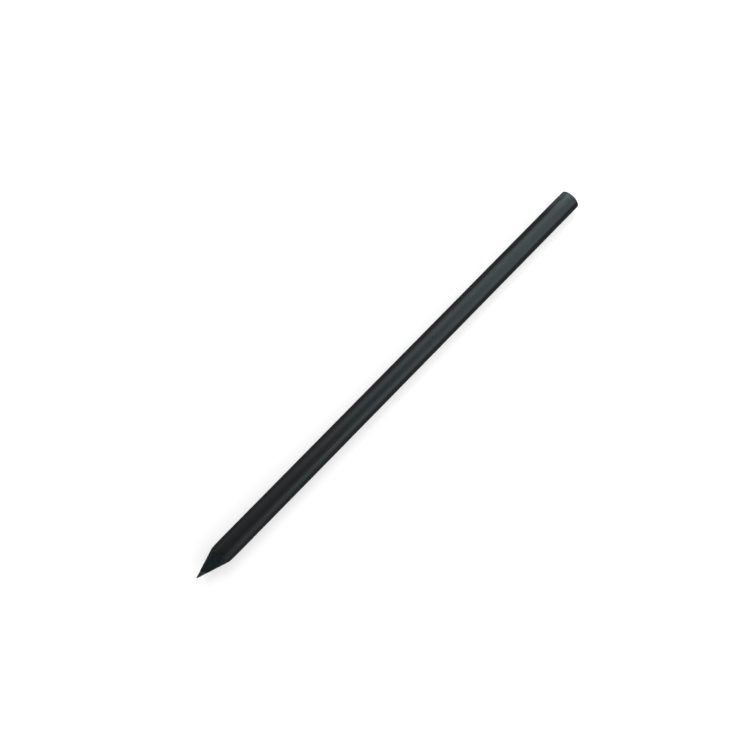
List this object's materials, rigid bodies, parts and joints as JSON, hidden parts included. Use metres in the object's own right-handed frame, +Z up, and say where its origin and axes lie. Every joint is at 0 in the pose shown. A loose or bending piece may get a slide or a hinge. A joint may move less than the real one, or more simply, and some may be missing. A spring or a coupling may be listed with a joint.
{
  "type": "graphite pencil",
  "caption": "Round wood-cased graphite pencil with a satin black lacquered barrel, a sharpened point in black-dyed wood and a plain cut end, for writing and drawing.",
  "frame": {"origin": "on the table, under the middle of the pencil's length", "axes": "+X along the pencil from its point to its cut end, +Z up from the table it lies on"},
  "size_m": [0.178, 0.0074, 0.0073],
  "materials": {
    "dyed_wood": "matte",
    "glue": "satin",
    "graphite": "satin",
    "lacquer": "satin"
  },
  "bodies": {
    "root": {"upper_slat": "dyed_wood", "lower_slat": "dyed_wood", "glue_film": "glue", "graphite_core": "graphite", "lacquer_coat": "lacquer"}
  },
  "joints": []
}
